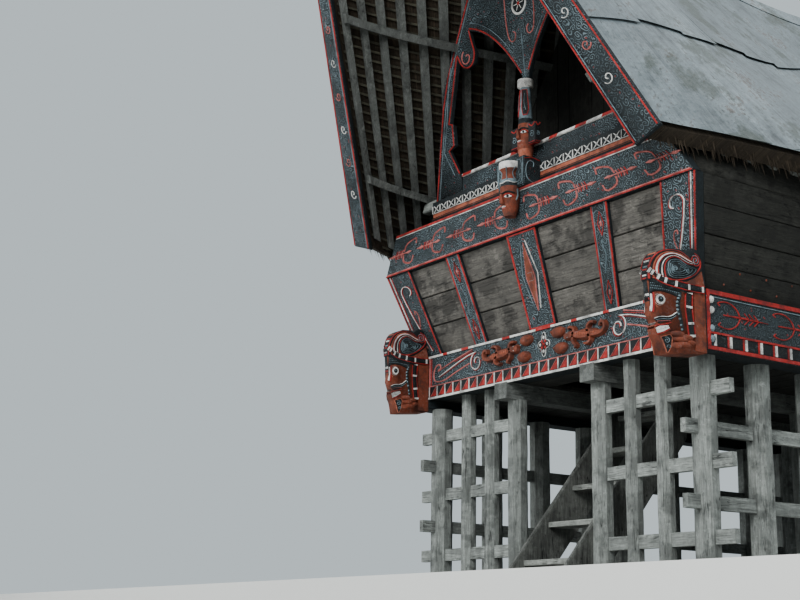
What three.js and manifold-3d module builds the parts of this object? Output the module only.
// A Batak Toba house with a saddle roof, in millimetres, +Z up.
// +X is to the right along the front, +Y runs back into the house.
// The house is laid out from the face of its front beam (y = 0) and the ground
// (z = 0), and is then moved so that the origin lies under the middle of its box.

import * as THREE from 'three';
import { mergeVertices } from 'three/addons/utils/BufferGeometryUtils.js';
import Module from 'manifold-3d';

const wasm = await Module();
wasm.setup();

// Running gap between slanted faces of neighbouring pieces
const GAP = 0.3;

// Plan of the house
const HOUSE_LENGTH = 7160;
const BAY_DEPTH = 680;
const SIDE_BAYS = 10;
const POST_LINE = 180;

// Heights
const JOIST_BOTTOM = 1740;
const FLOOR_BOTTOM = 1900;
const FLOOR_THICK = 40;
const FRONT_BEAM_TOP = 2360;
const SIDE_BEAM_BOTTOM = 1800;
const SIDE_BEAM_TOP = 2330;
const WALL_TOP = 3280;
const BAND_TOP = 3690;
const PLATE_TOP = 3600;
const PLATE_INNER = 2160;

// Beams at floor level
const FRONT_BEAM_THICK = 200;
const SIDE_BEAM_INNER = 1880;
const SIDE_BEAM_OUTER = 2120;

// Leaning walls: half widths at the foot and head of the front wall, and its lean
const WALL_HALF_FOOT = 2020;
const WALL_HALF_HEAD = 2310;
const WALL_LEAN = 280;
const SIDE_WALL_THICK = 60;
const REAR_WALL_THICK = 80;
const WALL_POST_DEPTH = 100;
const BOARD_FRONT = 30;
const BOARD_BACK = 80;

// Front wall, as shares of its width from the left corner
const END_POST_SHARE = 0.09;
const MID_POST_START = 0.235;
const MID_POST_SHARE = 0.048;
const CENTRE_POST_SHARE = 0.0945;

// Band over the front and rear walls
const BAND_BACK_Y = -200;
const BAND_DEPTH = 100;
const BAND_LEAN = 60;
const BAND_HALF_HEAD = 2030;

// Posts and ties below the floor
const POST_SIDES = 8;
const FRONT_POST_X = [1410, 1020];
const GATE_POST_X = 610;
const SIDE_POST_X = 1880;
const CORNER_POST = 220;
const GATE_POST = 190;
const FRONT_POST = 150;
const INNER_POST = 160;
const TIE_HEIGHT = 120;
const TIE_THICK = 60;
const FRONT_TIE_BOTTOMS = [1450, 830, 200];
const SIDE_TIE_BOTTOMS = [1125, 495];
const FRONT_TIE_REACH = 2200;
const SIDE_TIE_REACH = 260;
const JOIST_X = 635;
const JOIST_WIDTH = 190;
const JOIST_REACH = 20;

// Stair
const STAIR_HALF_WIDTH = 420;
const STRINGER_THICK = 50;
const STRINGER_WIDTH = 400;
const STAIR_FOOT_Y = -165;
const STAIR_RISE = 1900;
const STAIR_RUN = 1583;
const TREAD_TOPS = [150, 530, 910, 1290, 1670];
const TREAD_DEPTH = 260;
const TREAD_THICK = 50;
const TREAD_SETBACK = 90;
const HATCH_HALF_WIDTH = 470;
const HATCH_FRONT = 520;
const HATCH_BACK = 1500;

// Roof: ridge and eave lines from the front apex to the rear apex
const RIDGE_FRONT_Y = -3420;
const RIDGE_REAR_Y = 9100;
const RIDGE_LOW_Y = 3600;
const RIDGE_LOW_Z = 6700;
const RIDGE_FRONT_Z = 9350;
const RIDGE_REAR_Z = 8300;
const EAVE_FRONT_Y = -660;
const EAVE_REAR_Y = 7850;
const EAVE_END_X = 2090;
const EAVE_SWELL = 500;
const EAVE_END_Z = 3500;
const EAVE_DROP = 120;
const ROOF_SAG = 250;
const THATCH_AT_RIDGE = 100;
const THATCH_AT_EAVE = 230;
const RAFTER_DEPTH = 90;
const RAFTER_WIDTH = 80;
const RAFTERS_PER_SIDE = 7;
const RAFTER_START = 0.02;
const RAFTER_REACH = 0.99;
const PURLIN_START = 0.005;
const PURLIN_HEIGHTS = [5660, 4200];
const PURLIN_WIDTH = 90;
const ROOF_STEPS_DOWN = 5;
const ROOF_STEPS_ALONG = 12;
const SKY = 12000;

// Barge boards on the roof's ends
const BARGE_THICK = 50;
const BARGE_INSET = 60;
const BARGE_PROUD = 25;

// Balcony and gable
const BALCONY_DEPTH = 1100;
const BALCONY_HALF = 1990;
const BALCONY_THICK = 50;
const SILL_FACE_Y = -180;
const SILL_BACK_Y = -40;
const SILL_FOOT_Y = -130;
const SILL_HALF = 1600;
const SILL_BOTTOM = 3780;
const SILL_TOP = 3995;
const PARAPET_FACE_Y = -100;
const PARAPET_THICK = 50;
const PARAPET_HALF = 1175;
const PARAPET_TOP = 4195;
const RAIL_HEIGHT = 35;
const RAIL_PROUD = 15;
const BRACKET_FACE_Y = -400;
const BRACKET_HALF = 200;
const GABLE_LEAN = 0.11;
const GABLE_THICK = 50;
const GABLE_WALL_THICK = 50;
const CROSS_BEAM_SIZE = 105;
const CROSS_BEAM_HALF = 2050;

// Carved heads on the corners, seen from the side: y and z of the outline. In plan a head
// keeps its full thickness up to the start of the taper and narrows from there to the nose.
const HEAD_OUTLINE = [
  [0, 1765], [0, 2358], [-74, 2598], [-92, 2640], [-150, 2650], [-235, 2598], [-300, 2617], [-398, 2617],
  [-492, 2580], [-563, 2505], [-594, 2406], [-595, 2312], [-583, 2223], [-573, 2150],
  [-580, 2045], [-548, 2001], [-524, 1980], [-545, 1913], [-531, 1871], [-475, 1825], [-440, 1722],
];
const CREST_OUTLINE = [
  [-20, 2290], [-3, 2360], [-75, 2600], [-94, 2645], [-150, 2655], [-235, 2603], [-300, 2622], [-398, 2622],
  [-494, 2585], [-566, 2508], [-598, 2406], [-600, 2330], [-440, 2275], [-250, 2250],
];
const HEAD_HALF = 120;
const HEAD_CHEEK_HALF = 106;
const HEAD_TAPER_START = -300;
const HEAD_TAPER = 0.28;
const HEAD_NOSE = -600;
const HEAD_ROOT = -150;
const HEAD_LEFT_SHARE = 0.76;
const EYE_Y = -484;
const EYE_Z = 2172;
const EYE_RADIUS = 50;
const EYE_PROUD = 8;

// Turned outlines of the two carved masks: radius and height from their foot
const MASK_PROFILE = [
  [0, 0], [58, 0], [78, 60], [100, 170], [102, 290], [84, 385], [78, 440], [112, 480], [112, 545], [0, 545],
];
const MASK_AXIS_Y = -405;
const MASK_FOOT_Z = 3405;
const FIGURE_PROFILE = [
  [0, 0], [60, 0], [70, 90], [84, 160], [84, 330], [70, 460],
  [62, 640], [52, 800], [82, 810], [82, 880], [0, 880],
];
const FIGURE_AXIS_Y = -205;
const FIGURE_EAR_HALF = 185;
const FIGURE_EAR_BOTTOM = 4170;
const FIGURE_EAR_TOP = 4390;
const FIGURE_EAR_THICK = 60;
const MASK_SIDES = 16;

// Half of the gable frame's outline, from the foot of the jamb over the roof line to the
// pendant in the middle and back round the opening
const JAMB_AND_RIDGE = [[1175, SILL_TOP], [1660, SILL_TOP], [1150, 6050], [900, 7400], [0, 9000]];
const PENDANT = [[0, 4890], [45, 4890], [60, 4960]];
const ARCH_PULL = [420, 5560];
const ARCH_TOP = [830, 5706];
const HOOK_AND_JAMB = [
  [800, 5560], [760, 5440], [800, 5330], [900, 5300], [1000, 5360], [1060, 5500],
  [1190, 5100], [1290, 4810], [1235, 4790], [1235, 4560], [1340, 4540], [1175, PARAPET_TOP],
];

const FINISH = {
  greyWood: { color: 0x8a8b86, roughness: 0.9 },
  darkWood: { color: 0x3b3c3a, roughness: 0.9 },
  boardWood: { color: 0x6d6459, roughness: 0.88 },
  carved: { color: 0x2a3438, roughness: 0.8 },
  paintedOrange: { color: 0xb5583a, roughness: 0.75 },
  redBrown: { color: 0x8c4630, roughness: 0.7 },
  whiteRail: { color: 0xc9bdb6, roughness: 0.75 },
  stairWood: { color: 0x7a766e, roughness: 0.9 },
  roofSheet: { color: 0x8d979b, roughness: 0.55 },
};

const house = new THREE.Group();

// Adds one named piece to the house
function place(name, geometry, finish) {
  const { color, roughness } = FINISH[finish];
  const material = new THREE.MeshStandardMaterial({ color, roughness, metalness: 0 });
  const mesh = new THREE.Mesh(geometry, material);
  mesh.name = name;
  house.add(mesh);
}

function mix(a, b, t) {
  return a + (b - a) * t;
}

// Geometry with its position attribute only, and shared vertices merged
function bare(geometry) {
  const copy = geometry.clone();
  copy.deleteAttribute('normal');
  copy.deleteAttribute('uv');
  return mergeVertices(copy, 1e-3);
}

function signedVolume(geometry) {
  const position = geometry.getAttribute('position');
  const index = geometry.index.array;
  const a = new THREE.Vector3();
  const b = new THREE.Vector3();
  const c = new THREE.Vector3();
  let volume = 0;
  for (let i = 0; i < index.length; i += 3) {
    a.fromBufferAttribute(position, index[i]);
    b.fromBufferAttribute(position, index[i + 1]);
    c.fromBufferAttribute(position, index[i + 2]);
    volume += a.dot(b.cross(c)) / 6;
  }
  return volume;
}

// Turns every triangle over when the faces point inwards
function facingOut(geometry) {
  if (signedVolume(geometry) < 0) {
    const index = geometry.index.array;
    for (let i = 0; i < index.length; i += 3) {
      [index[i], index[i + 1]] = [index[i + 1], index[i]];
    }
  }
  return geometry;
}

function toSolid(geometry) {
  const merged = bare(geometry);
  return new wasm.Manifold(new wasm.Mesh({
    numProp: 3,
    vertProperties: Float32Array.from(merged.getAttribute('position').array),
    triVerts: Uint32Array.from(merged.index.array),
  }));
}

function toGeometry(solid) {
  const mesh = solid.getMesh();
  const geometry = new THREE.BufferGeometry();
  geometry.setAttribute('position', new THREE.BufferAttribute(mesh.vertProperties, 3));
  geometry.setIndex(new THREE.BufferAttribute(mesh.triVerts, 1));
  return geometry;
}

function join(geometries) {
  return toGeometry(geometries.map(toSolid).reduce((sum, next) => sum.add(next)));
}

function cut(geometry, cutters) {
  return toGeometry(cutters.reduce((rest, next) => rest.subtract(toSolid(next)), toSolid(geometry)));
}

// Box between two corners
function block(x0, x1, y0, y1, z0, z1) {
  const geometry = new THREE.BoxGeometry(x1 - x0, y1 - y0, z1 - z0);
  return geometry.translate((x0 + x1) / 2, (y0 + y1) / 2, (z0 + z1) / 2);
}

// Box whose corners are moved: shape(u, v, w) gives the place of each vertex, each share from 0 to 1
function bentBox(stepsU, stepsV, stepsW, shape) {
  const geometry = bare(new THREE.BoxGeometry(1, 1, 1, stepsU, stepsV, stepsW));
  const position = geometry.getAttribute('position');
  for (let i = 0; i < position.count; i += 1) {
    const place3 = shape(position.getX(i) + 0.5, position.getY(i) + 0.5, position.getZ(i) + 0.5);
    position.setXYZ(i, ...place3);
  }
  return facingOut(geometry);
}

// Upright eight-sided post, measured from flat to flat
function post(x, y, size, bottom, top) {
  const halfSide = Math.PI / POST_SIDES;
  const radius = size / 2 / Math.cos(halfSide);
  const geometry = new THREE.CylinderGeometry(radius, radius, top - bottom, POST_SIDES);
  geometry.rotateX(Math.PI / 2);
  geometry.rotateZ(halfSide);
  return geometry.translate(x, y, (bottom + top) / 2);
}

// Outline in x and z, given as a shape, made into a plate of the given depth from y0 backwards
function plate(shape, y0, depth) {
  const geometry = new THREE.ExtrudeGeometry(shape, { depth, bevelEnabled: false, curveSegments: 8 });
  geometry.rotateX(Math.PI / 2);
  return geometry.translate(0, y0 + depth, 0);
}

// Outline in y and z made into a board from x0 to x1
function sideBoard(points, x0, x1) {
  const shape = new THREE.Shape(points.map(([y, z]) => new THREE.Vector2(y, z)));
  const geometry = new THREE.ExtrudeGeometry(shape, { depth: x1 - x0, bevelEnabled: false });
  geometry.rotateX(Math.PI / 2);
  geometry.rotateZ(Math.PI / 2);
  return geometry.translate(x0, 0, 0);
}

// Moves each vertex of a geometry to shift([x, y, z])
function reshape(geometry, shift) {
  const result = bare(geometry);
  const position = result.getAttribute('position');
  for (let i = 0; i < position.count; i += 1) {
    position.setXYZ(i, ...shift([position.getX(i), position.getY(i), position.getZ(i)]));
  }
  return facingOut(result);
}

// Posts and ties below the floor

function alongX(bottom, x0, x1, y) {
  return block(x0, x1, y - TIE_THICK / 2, y + TIE_THICK / 2, bottom, bottom + TIE_HEIGHT);
}

function alongY(bottom, x, y0, y1) {
  return block(x - TIE_THICK / 2, x + TIE_THICK / 2, y0, y1, bottom, bottom + TIE_HEIGHT);
}

// Holes in the corner posts for the ties of the front and rear rows
function mortises(side, y) {
  const x = side * SIDE_POST_X;
  const half = TIE_THICK / 2 + GAP;
  return FRONT_TIE_BOTTOMS.map((z) => (
    block(x - CORNER_POST, x + CORNER_POST, y - half, y + half, z - GAP, z + TIE_HEIGHT + GAP)
  ));
}

function sidePostFrame(side) {
  const x = side * SIDE_POST_X;
  const lastRow = POST_LINE + SIDE_BAYS * BAY_DEPTH;
  const pieces = [];
  for (let row = 0; row <= SIDE_BAYS; row += 1) {
    pieces.push(post(x, POST_LINE + row * BAY_DEPTH, CORNER_POST, 0, SIDE_BEAM_BOTTOM));
  }
  for (const z of SIDE_TIE_BOTTOMS) {
    pieces.push(alongY(z, x, POST_LINE - SIDE_TIE_REACH, lastRow + SIDE_TIE_REACH));
  }
  return cut(join(pieces), [...mortises(side, POST_LINE), ...mortises(side, lastRow)]);
}

// Posts on one side of the gate, with the ties that run out through the corner post
function rowPostFrame(side, y) {
  const gateEdge = GATE_POST_X - GATE_POST / 2;
  const ends = [side * gateEdge, side * FRONT_TIE_REACH].sort((a, b) => a - b);
  return join([
    ...FRONT_POST_X.map((x) => post(side * x, y, FRONT_POST, 0, FLOOR_BOTTOM)),
    post(side * GATE_POST_X, y, GATE_POST, 0, JOIST_BOTTOM),
    ...FRONT_TIE_BOTTOMS.map((z) => alongX(z, ends[0], ends[1], y)),
  ]);
}

function joistWithPosts(side) {
  const x = side * JOIST_X;
  const half = JOIST_WIDTH / 2;
  const [front, rear] = [-JOIST_REACH, HOUSE_LENGTH + JOIST_REACH];
  const pieces = [block(x - half, x + half, front, rear, JOIST_BOTTOM, FLOOR_BOTTOM)];
  for (let row = 2; row < SIDE_BAYS; row += 2) {
    pieces.push(post(x, POST_LINE + row * BAY_DEPTH, INNER_POST, 0, JOIST_BOTTOM + FLOOR_THICK));
  }
  return join(pieces);
}

// Beams and floor

function endBeam(yFace, yBack) {
  return block(-SIDE_BEAM_INNER, SIDE_BEAM_INNER, yFace, yBack, FLOOR_BOTTOM, FRONT_BEAM_TOP);
}

function sideBeam(side) {
  const [x0, x1] = [side * SIDE_BEAM_INNER, side * SIDE_BEAM_OUTER].sort((a, b) => a - b);
  return block(x0, x1, 0, HOUSE_LENGTH, SIDE_BEAM_BOTTOM, SIDE_BEAM_TOP);
}

function floorWithHatch() {
  const yFront = FRONT_BEAM_THICK;
  const yBack = HOUSE_LENGTH - FRONT_BEAM_THICK;
  const top = FLOOR_BOTTOM + FLOOR_THICK;
  const boards = block(-SIDE_BEAM_INNER, SIDE_BEAM_INNER, yFront, yBack, FLOOR_BOTTOM, top);
  const hatch = block(
    -HATCH_HALF_WIDTH, HATCH_HALF_WIDTH, HATCH_FRONT, HATCH_BACK,
    FLOOR_BOTTOM - FLOOR_THICK, top + FLOOR_THICK,
  );
  return cut(boards, [hatch]);
}

// Stair

function stairFront(z) {
  return STAIR_FOOT_Y + (z * STAIR_RUN) / STAIR_RISE;
}

function stringer(side) {
  const slope = Math.atan2(STAIR_RISE, STAIR_RUN);
  const level = STRINGER_WIDTH / Math.sin(slope);
  const head = FLOOR_BOTTOM + FLOOR_THICK;
  const back = HATCH_BACK - GAP;
  const backZ = ((back - STAIR_FOOT_Y - level) * STAIR_RISE) / STAIR_RUN;
  const outline = [
    [STAIR_FOOT_Y, 0], [STAIR_FOOT_Y + level, 0], [back, backZ], [back, head], [stairFront(head), head],
  ];
  const inner = STAIR_HALF_WIDTH - STRINGER_THICK;
  return side > 0
    ? sideBoard(outline, inner, STAIR_HALF_WIDTH)
    : sideBoard(outline, -STAIR_HALF_WIDTH, -inner);
}

function tread(top) {
  const half = STAIR_HALF_WIDTH - STRINGER_THICK;
  const y = stairFront(top) + TREAD_SETBACK;
  return block(-half, half, y, y + TREAD_DEPTH, top - TREAD_THICK, top);
}

// Leaning walls

function wallRise(z) {
  return (z - FRONT_BEAM_TOP) / (WALL_TOP - FRONT_BEAM_TOP);
}

function wallHalf(z) {
  return mix(WALL_HALF_FOOT, WALL_HALF_HEAD, wallRise(z));
}

// Upright strip of the front wall between two shares of its width and two depths from its face
function wallStrip(shareA, shareB, depthA, depthB) {
  return bentBox(1, 1, 1, (u, v, w) => {
    const z = mix(FRONT_BEAM_TOP, WALL_TOP, w);
    const x = (mix(shareA, shareB, u) - 0.5) * 2 * wallHalf(z);
    return [x, mix(depthA, depthB, v) - WALL_LEAN * w, z];
  });
}

function wallPost(shareA, shareB) {
  return wallStrip(shareA, shareB, 0, WALL_POST_DEPTH);
}

function wallBoards(shareA, shareB) {
  const inset = GAP / WALL_HALF_FOOT;
  return wallStrip(shareA + inset, shareB - inset, BOARD_FRONT, BOARD_BACK);
}

function sideWall(side) {
  return bentBox(1, 1, 1, (u, v, w) => {
    const z = mix(SIDE_BEAM_TOP, WALL_TOP, w);
    const lean = WALL_LEAN * wallRise(z);
    const front = WALL_POST_DEPTH + GAP - lean;
    const rear = HOUSE_LENGTH - REAR_WALL_THICK - GAP + lean;
    return [side * (wallHalf(z) - SIDE_WALL_THICK * (1 - u)), mix(front, rear, v), z];
  });
}

function rearWall() {
  return bentBox(1, 1, 1, (u, v, w) => {
    const z = mix(FRONT_BEAM_TOP, WALL_TOP, w);
    const face = HOUSE_LENGTH + WALL_LEAN * w;
    return [mix(-1, 1, u) * wallHalf(z), face - REAR_WALL_THICK * v, z];
  });
}

// Band over an end wall: its face leans out a little, and its ends follow the roof
function endBand(backY, outward) {
  return bentBox(1, 1, 1, (u, v, w) => {
    const face = backY + outward * (BAND_DEPTH + BAND_LEAN * w);
    const x = mix(-1, 1, u) * mix(WALL_HALF_HEAD, BAND_HALF_HEAD, w);
    return [x, mix(face, backY, v), mix(WALL_TOP, BAND_TOP, w)];
  });
}

// Roof surface. side is -1 or 1, down runs from the ridge to the eave, along from front to rear,
// and out is the distance from the inner face of the thatch, outwards.

function ridgeHeight(y) {
  const front = y < RIDGE_LOW_Y;
  const reach = front ? RIDGE_FRONT_Y - RIDGE_LOW_Y : RIDGE_REAR_Y - RIDGE_LOW_Y;
  const rise = (front ? RIDGE_FRONT_Z : RIDGE_REAR_Z) - RIDGE_LOW_Z;
  return RIDGE_LOW_Z + rise * ((y - RIDGE_LOW_Y) / reach) ** 2;
}

// Share by which the eave bows out and dips: none at its ends and all of it in its middle
function eaveBow(along) {
  return 1 - (2 * along - 1) ** 4;
}

function eaveHeight(along) {
  return EAVE_END_Z - EAVE_DROP * eaveBow(along);
}

// Greatest depth of the slope's hollow between ridge and eave: none at the roof's ends
function hollowDepth(along) {
  return ROOF_SAG * (1 - (2 * along - 1) ** 2);
}

function roofPoint(side, down, along, out) {
  const ridgeY = mix(RIDGE_FRONT_Y, RIDGE_REAR_Y, along);
  const ridgeZ = ridgeHeight(ridgeY);
  const eaveX = EAVE_END_X + EAVE_SWELL * eaveBow(along);
  const eaveY = mix(EAVE_FRONT_Y, EAVE_REAR_Y, along);
  const eaveZ = eaveHeight(along);
  const slope = Math.atan2(ridgeZ - eaveZ, eaveX);
  const sag = hollowDepth(along) * 4 * down * (1 - down);
  const y = mix(ridgeY, eaveY, down);
  const z = mix(ridgeZ, eaveZ, down) - sag;
  if (down === 0) {
    const shift = (eaveY - ridgeY) / eaveX * Math.sin(slope);
    return [0, y - out * shift, z + out / Math.cos(slope)];
  }
  return [side * (eaveX * down + out * Math.sin(slope)), y, z + out * Math.cos(slope)];
}

function thatch(down) {
  return mix(THATCH_AT_RIDGE, THATCH_AT_EAVE, down);
}

function roofSlope(side) {
  return bentBox(ROOF_STEPS_DOWN, ROOF_STEPS_ALONG, 1, (u, v, w) => roofPoint(side, u, v, w * thatch(u)));
}

// Everything above the surface at the given distance from the thatch, on both sides.
// The surface runs on past the eave by one more step.
function aboveRoof(out) {
  const steps = ROOF_STEPS_DOWN + 1;
  const volume = (side) => toSolid(bentBox(steps, ROOF_STEPS_ALONG, 1, (u, v, w) => {
    const [x, y, z] = roofPoint(side, (u * steps) / ROOF_STEPS_DOWN, v, out);
    return [x, y, w === 0 ? z : SKY];
  }));
  return volume(-1).add(volume(1));
}

const aboveRafters = aboveRoof(-RAFTER_DEPTH - GAP);

function underRafters(geometry) {
  return toGeometry(toSolid(geometry).subtract(aboveRafters));
}

// Upright slice of space over the strip between two shares along the roof
function rafterSlice(side, alongA, alongB) {
  return toSolid(bentBox(1, 1, 1, (u, v, w) => {
    const [x, y] = roofPoint(side, RAFTER_REACH * u, mix(alongA, alongB, v), 0);
    return [x, y, SKY * w];
  }));
}

// How far down the slope the roof is at the given height. The height is a quadratic in that share.
function levelShare(along, z) {
  const ridgeZ = ridgeHeight(mix(RIDGE_FRONT_Y, RIDGE_REAR_Y, along));
  const bend = 4 * hollowDepth(along);
  const fall = ridgeZ - eaveHeight(along) + bend;
  return 2 * (ridgeZ - z) / (fall + Math.sqrt(fall ** 2 - 4 * bend * (ridgeZ - z)));
}

// Level bar along the underside of the roof, which cuts through its whole rafter layer
function purlinBar(side, height) {
  const share = PURLIN_WIDTH / (RIDGE_FRONT_Z - EAVE_END_Z);
  return toSolid(bentBox(1, ROOF_STEPS_ALONG, 1, (u, v, w) => {
    const along = mix(PURLIN_START, 1 - PURLIN_START, v);
    const down = levelShare(along, height) + (u - 0.5) * share;
    return roofPoint(side, down, along, mix(-2, 1, w) * RAFTER_DEPTH);
  }));
}

function rafters(side) {
  const halfRafter = RAFTER_WIDTH / 2 / (EAVE_REAR_Y - EAVE_FRONT_Y);
  const bars = PURLIN_HEIGHTS.map((height) => purlinBar(side, height));
  for (let i = 0; i < RAFTERS_PER_SIDE; i += 1) {
    const along = mix(RAFTER_START, 1 - RAFTER_START, i / (RAFTERS_PER_SIDE - 1));
    bars.push(rafterSlice(side, along - halfRafter, along + halfRafter));
  }
  const lattice = bars.reduce((sum, bar) => sum.add(bar));
  const [x0, x1] = [side * GAP, side * SKY].sort((a, b) => a - b);
  const ownSide = toSolid(block(x0, x1, -SKY, SKY, 0, SKY));
  const layer = aboveRoof(-RAFTER_DEPTH).subtract(aboveRoof(-GAP)).intersect(ownSide);
  return toGeometry(lattice.intersect(layer));
}

// Barge board on one end of one slope; outward is -1 at the front and 1 at the rear
function bargeBoard(side, along, outward) {
  return bentBox(ROOF_STEPS_DOWN, 1, 1, (u, v, w) => {
    const [x, y, z] = roofPoint(side, u, along, mix(-BARGE_INSET, thatch(u) + BARGE_PROUD, w));
    return [x, y + outward * mix(GAP, BARGE_THICK, v), z];
  });
}

// Balcony and gable

function sidePlate(side) {
  const [x0, x1] = [side * PLATE_INNER, side * WALL_HALF_HEAD].sort((a, b) => a - b);
  return underRafters(block(x0, x1, BAND_BACK_Y, HOUSE_LENGTH - BAND_BACK_Y, WALL_TOP, PLATE_TOP));
}

function sillBeam() {
  const outline = [
    [SILL_FACE_Y, SILL_BOTTOM], [SILL_FACE_Y, SILL_TOP], [SILL_BACK_Y, SILL_TOP],
    [SILL_BACK_Y, BAND_TOP], [SILL_FOOT_Y, BAND_TOP], [SILL_FOOT_Y, SILL_BOTTOM],
  ];
  return sideBoard(outline, -SILL_HALF, SILL_HALF);
}

function gableFrame() {
  const half = (side) => {
    const shape = new THREE.Shape();
    shape.moveTo(side * JAMB_AND_RIDGE[0][0], JAMB_AND_RIDGE[0][1]);
    JAMB_AND_RIDGE.slice(1).forEach(([x, z]) => shape.lineTo(side * x, z));
    PENDANT.forEach(([x, z]) => shape.lineTo(side * x, z));
    shape.quadraticCurveTo(side * ARCH_PULL[0], ARCH_PULL[1], side * ARCH_TOP[0], ARCH_TOP[1]);
    HOOK_AND_JAMB.forEach(([x, z]) => shape.lineTo(side * x, z));
    shape.closePath();
    return plate(shape, 0, GABLE_THICK);
  };
  const lean = ([x, y, z]) => [x, PARAPET_FACE_Y + y - GABLE_LEAN * (z - SILL_TOP), z];
  return underRafters(join([reshape(half(-1), lean), reshape(half(1), lean)]));
}

// Wall across the roof space, from the top of the bands up to the rafters
function gableWall(y0) {
  const y1 = y0 + GABLE_WALL_THICK;
  return underRafters(block(-BALCONY_HALF, BALCONY_HALF, y0, y1, BAND_TOP, RIDGE_FRONT_Z));
}

// Carved pieces

// Half thickness of a head's layer at the depth y
function headHalf(layerHalf, y) {
  return layerHalf - HEAD_TAPER * Math.max(0, HEAD_TAPER_START - y);
}

// One layer of a head round the plane x = 0: its outline from the side, narrowed towards the nose
function headLayer(outline, half) {
  const nose = headHalf(half, HEAD_NOSE);
  const corners = [
    [half, 0], [half, HEAD_TAPER_START], [nose, HEAD_NOSE],
    [-nose, HEAD_NOSE], [-half, HEAD_TAPER_START], [-half, 0],
  ];
  const plan = new THREE.Shape(corners.map(([x, y]) => new THREE.Vector2(x, y)));
  const column = new THREE.ExtrudeGeometry(plan, { depth: WALL_TOP, bevelEnabled: false });
  return toGeometry(toSolid(sideBoard(outline, -half, half)).intersect(toSolid(column)));
}

// Round eye, turned with the cheek that it stands on
function eyeDisc(cheek) {
  const disc = new THREE.CylinderGeometry(EYE_RADIUS, EYE_RADIUS, 2 * EYE_PROUD, 20);
  disc.rotateZ(Math.PI / 2 - cheek * Math.atan(HEAD_TAPER));
  return disc.translate(cheek * headHalf(HEAD_CHEEK_HALF, EYE_Y), EYE_Y, EYE_Z);
}

// The left head juts out less than the right one in front of its root
function headDepth(side, y) {
  return side > 0 || y > HEAD_ROOT ? y : HEAD_ROOT + (y - HEAD_ROOT) * HEAD_LEFT_SHARE;
}

function guardianHead(side) {
  const middle = (SIDE_BEAM_INNER + SIDE_BEAM_OUTER) / 2;
  const head = join([
    headLayer(HEAD_OUTLINE, HEAD_CHEEK_HALF),
    headLayer(CREST_OUTLINE, HEAD_HALF),
    eyeDisc(-1),
    eyeDisc(1),
  ]);
  return reshape(head, ([x, y, z]) => [side * (x + middle), headDepth(side, y), z]);
}

function turned(profile, y, z) {
  const geometry = new THREE.LatheGeometry(profile.map(([r, h]) => new THREE.Vector2(r, h)), MASK_SIDES);
  geometry.rotateX(Math.PI / 2);
  return facingOut(bare(geometry.translate(0, y, z)));
}

function lowerMask() {
  const bandWithGap = reshape(endBand(BAND_BACK_Y, -1), ([x, y, z]) => [x, y - GAP, z]);
  const bracketWithGap = block(
    -2 * BRACKET_HALF, 2 * BRACKET_HALF, BRACKET_FACE_Y - GAP, 0, BAND_TOP, SILL_TOP + BRACKET_HALF,
  );
  return cut(turned(MASK_PROFILE, MASK_AXIS_Y, MASK_FOOT_Z), [bandWithGap, bracketWithGap]);
}

function pillarFigure() {
  const half = FIGURE_EAR_THICK / 2;
  const ears = block(
    -FIGURE_EAR_HALF, FIGURE_EAR_HALF, FIGURE_AXIS_Y - half, FIGURE_AXIS_Y + half,
    FIGURE_EAR_BOTTOM, FIGURE_EAR_TOP,
  );
  return join([turned(FIGURE_PROFILE, FIGURE_AXIS_Y, SILL_TOP), ears]);
}

// The whole house

const SIDES = [['left', -1], ['right', 1]];

for (const [name, side] of SIDES) {
  place(`side_post_frame_${name}`, sidePostFrame(side), 'greyWood');
  place(`front_post_frame_${name}`, rowPostFrame(side, POST_LINE), 'greyWood');
  place(`rear_post_frame_${name}`, rowPostFrame(side, POST_LINE + SIDE_BAYS * BAY_DEPTH), 'greyWood');
  place(`floor_joist_${name}`, joistWithPosts(side), 'darkWood');
  place(`side_beam_${name}`, sideBeam(side), 'carved');
  place(`guardian_head_${name}`, guardianHead(side), 'redBrown');
  place(`stair_stringer_${name}`, stringer(side), 'stairWood');
  place(`side_wall_${name}`, sideWall(side), 'darkWood');
  place(`side_plate_${name}`, sidePlate(side), 'darkWood');
  place(`rafters_${name}`, rafters(side), 'darkWood');
  place(`roof_${name}`, roofSlope(side), 'roofSheet');
  place(`barge_front_${name}`, bargeBoard(side, 0, -1), 'carved');
  place(`barge_rear_${name}`, bargeBoard(side, 1, 1), 'carved');
}

place('front_beam', endBeam(0, FRONT_BEAM_THICK), 'carved');
place('rear_beam', endBeam(HOUSE_LENGTH - FRONT_BEAM_THICK, HOUSE_LENGTH), 'darkWood');
place('floor', floorWithHatch(), 'darkWood');
TREAD_TOPS.forEach((top, i) => place(`stair_tread_${i + 1}`, tread(top), 'stairWood'));

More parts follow.
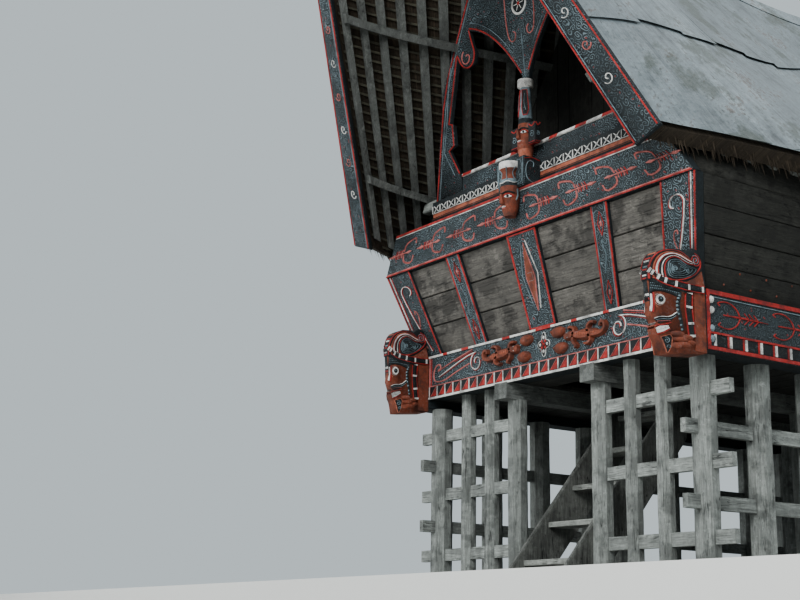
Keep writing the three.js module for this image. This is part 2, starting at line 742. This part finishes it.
const midEnd = MID_POST_START + MID_POST_SHARE;
const centreStart = 0.5 - CENTRE_POST_SHARE / 2;
place('front_end_post_left', wallPost(0, END_POST_SHARE), 'carved');
place('front_end_post_right', wallPost(1 - END_POST_SHARE, 1), 'carved');
place('front_mid_post_left', wallPost(MID_POST_START, midEnd), 'carved');
place('front_mid_post_right', wallPost(1 - midEnd, 1 - MID_POST_START), 'carved');
place('front_centre_post', wallPost(centreStart, 1 - centreStart), 'carved');
place('front_boards_1', wallBoards(END_POST_SHARE, MID_POST_START), 'boardWood');
place('front_boards_2', wallBoards(midEnd, centreStart), 'boardWood');
place('front_boards_3', wallBoards(1 - centreStart, 1 - midEnd), 'boardWood');
place('front_boards_4', wallBoards(1 - MID_POST_START, 1 - END_POST_SHARE), 'boardWood');
place('front_band', endBand(BAND_BACK_Y, -1), 'carved');
place('rear_wall', rearWall(), 'boardWood');
place('rear_band', endBand(HOUSE_LENGTH - BAND_BACK_Y, 1), 'darkWood');

place('balcony_floor', block(
  -BALCONY_HALF, BALCONY_HALF, BAND_BACK_Y, BAND_BACK_Y + BALCONY_DEPTH, BAND_TOP - BALCONY_THICK, BAND_TOP,
), 'darkWood');
place('sill_beam', sillBeam(), 'paintedOrange');
place('mask_bracket', block(
  -BRACKET_HALF, BRACKET_HALF, BRACKET_FACE_Y, SILL_FACE_Y, BAND_TOP, SILL_TOP,
), 'carved');
place('parapet', block(
  -PARAPET_HALF, PARAPET_HALF, PARAPET_FACE_Y, PARAPET_FACE_Y + PARAPET_THICK, SILL_TOP, PARAPET_TOP,
), 'carved');
place('parapet_rail', block(
  -PARAPET_HALF + 2 * GAP, PARAPET_HALF - 2 * GAP,
  PARAPET_FACE_Y - RAIL_PROUD, PARAPET_FACE_Y + PARAPET_THICK,
  PARAPET_TOP, PARAPET_TOP + RAIL_HEIGHT,
), 'whiteRail');
place('lower_mask', lowerMask(), 'redBrown');
place('pillar_figure', pillarFigure(), 'redBrown');
place('gable_frame', gableFrame(), 'carved');
place('gable_cross_beam', underRafters(block(
  -CROSS_BEAM_HALF, CROSS_BEAM_HALF,
  PARAPET_FACE_Y + PARAPET_THICK, PARAPET_FACE_Y + PARAPET_THICK + CROSS_BEAM_SIZE,
  SILL_TOP, SILL_TOP + CROSS_BEAM_SIZE,
)), 'greyWood');
const balconyBack = BAND_BACK_Y + BALCONY_DEPTH;
place('inner_gable_wall', gableWall(balconyBack - GABLE_WALL_THICK), 'darkWood');
place('rear_gable_wall', gableWall(HOUSE_LENGTH - BAND_BACK_Y), 'darkWood');

// The origin goes under the middle of the whole box
const box = new THREE.Box3().setFromObject(house);
house.position.y = -(box.min.y + box.max.y) / 2;
house.updateMatrixWorld(true);

export default house;
